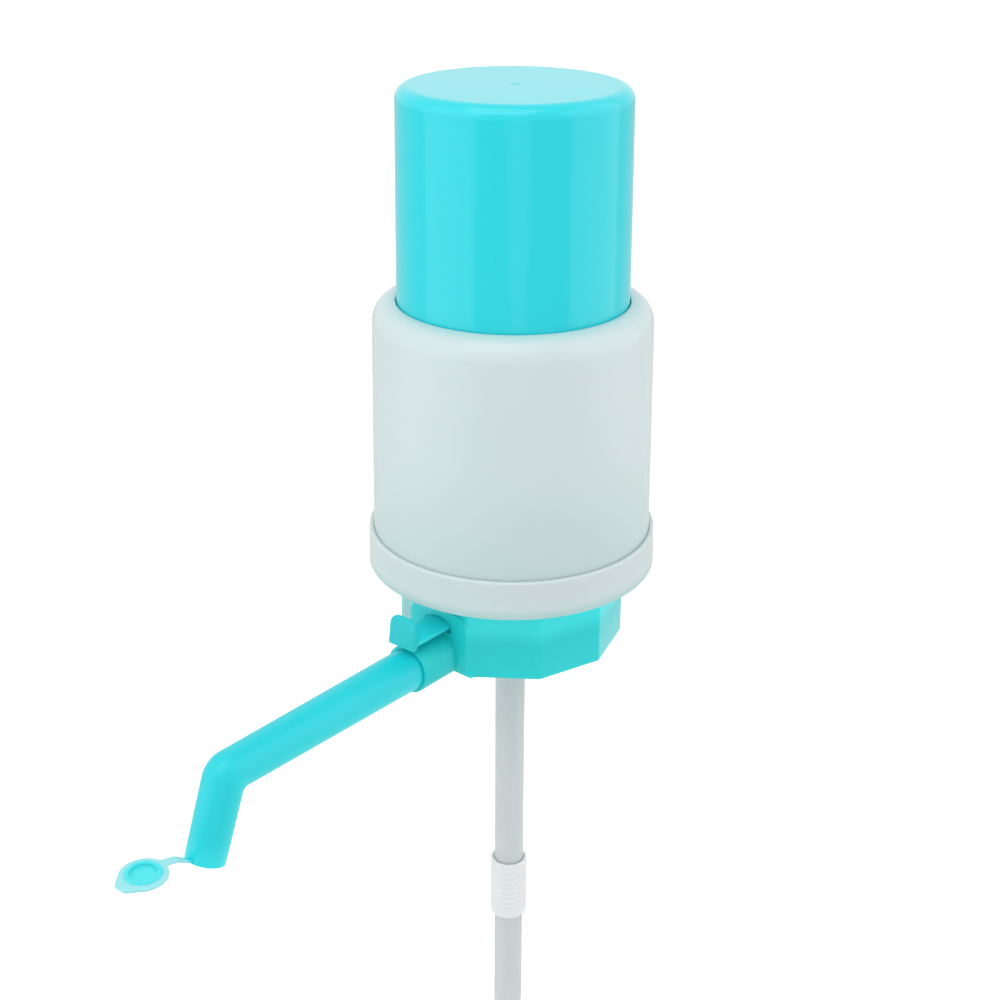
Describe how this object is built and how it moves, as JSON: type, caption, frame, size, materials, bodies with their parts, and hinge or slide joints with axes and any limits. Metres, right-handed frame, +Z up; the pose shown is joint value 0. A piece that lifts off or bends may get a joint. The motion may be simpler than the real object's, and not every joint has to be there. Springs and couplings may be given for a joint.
{
  "type": "water jug pump",
  "caption": "Hand press pump that sits on a large water bottle's neck: push cap over bellows, milky sleeve, faceted collar, swivelling spout with cap, release lever and dip tube.",
  "frame": {"origin": "on the neck's axis, at the face that the bottle's rim presses on", "axes": "+Z up along the neck's axis towards the push cap, -Y along the spout, +X to the right when the spout points at the viewer"},
  "size_m": [0.095, 0.2159, 0.422],
  "materials": {
    "turquoise_cap": "glossy",
    "turquoise_collar": "glossy",
    "turquoise_spout": "glossy",
    "turquoise_lever": "glossy",
    "milky_sleeve": "satin, slightly see-through",
    "milky_ring": "satin, slightly see-through",
    "pale_soft_cap": "satin, slightly see-through",
    "bellows_film": "satin",
    "white_plastic": "satin",
    "clear_silicone": "satin",
    "black_rubber": "matte",
    "steel": "polished",
    "clear_tube": "see-through, satin"
  },
  "bodies": {
    "base": {"base_collar": "turquoise_collar", "base_ring": "milky_ring", "outer_sleeve": "milky_sleeve", "base_screws": "steel", "bellows": "bellows_film", "bellows_clamp": "white_plastic", "neck_gasket": "clear_silicone", "lever_pin": "steel", "lever_spring": "steel", "dip_tube_upper": "clear_tube", "tube_coupler": "white_plastic", "dip_tube_lower": "clear_tube"},
    "plunger": {"push_cap": "turquoise_cap", "bellows_plate": "white_plastic"},
    "intake": {"intake_valve": "clear_silicone"},
    "delivery": {"delivery_valve": "clear_silicone"},
    "lever": {"release_lever": "turquoise_lever", "release_plug": "clear_silicone"},
    "spout": {"spout_tube": "turquoise_spout", "spout_o_ring": "black_rubber"},
    "cap": {"spout_cap": "pale_soft_cap"}
  },
  "joints": [
    {"name": "push_slide", "type": "slide", "parent": "base", "child": "plunger", "axis": [0, 0, -1], "range_m": [0, 0.06], "stiffness_N_per_m": 250, "springref_m": -0.02, "deforming": ["bellows"]},
    {"name": "intake_lift", "type": "slide", "parent": "plunger", "child": "intake", "axis": [0, 0, -1], "range_m": [0, 0.0012], "stiffness_N_per_m": 10, "springref_m": -0.002},
    {"name": "delivery_lift", "type": "slide", "parent": "base", "child": "delivery", "axis": [0, 0, -1], "range_m": [0, 0.0012], "stiffness_N_per_m": 10, "springref_m": -0.002},
    {"name": "release_hinge", "type": "hinge", "parent": "base", "child": "lever", "pos_m": [0, -0.03546, -0.00605], "axis": [1, 0, 0], "range_deg": [0, 5], "stiffness_Nm_per_rad": 0.012, "springref_deg": -28.65, "deforming": ["lever_spring"]},
    {"name": "spout_swivel", "type": "hinge", "parent": "base", "child": "spout", "pos_m": [0, -0.0519, -0.0172], "axis": [0, -1, 0], "continuous": true},
    {"name": "cap_hinge", "type": "hinge", "parent": "spout", "child": "cap", "pos_m": [0, -0.1485, -0.03655], "axis": [1, 0, 0], "range_deg": [0, 158.65]}
  ]
}
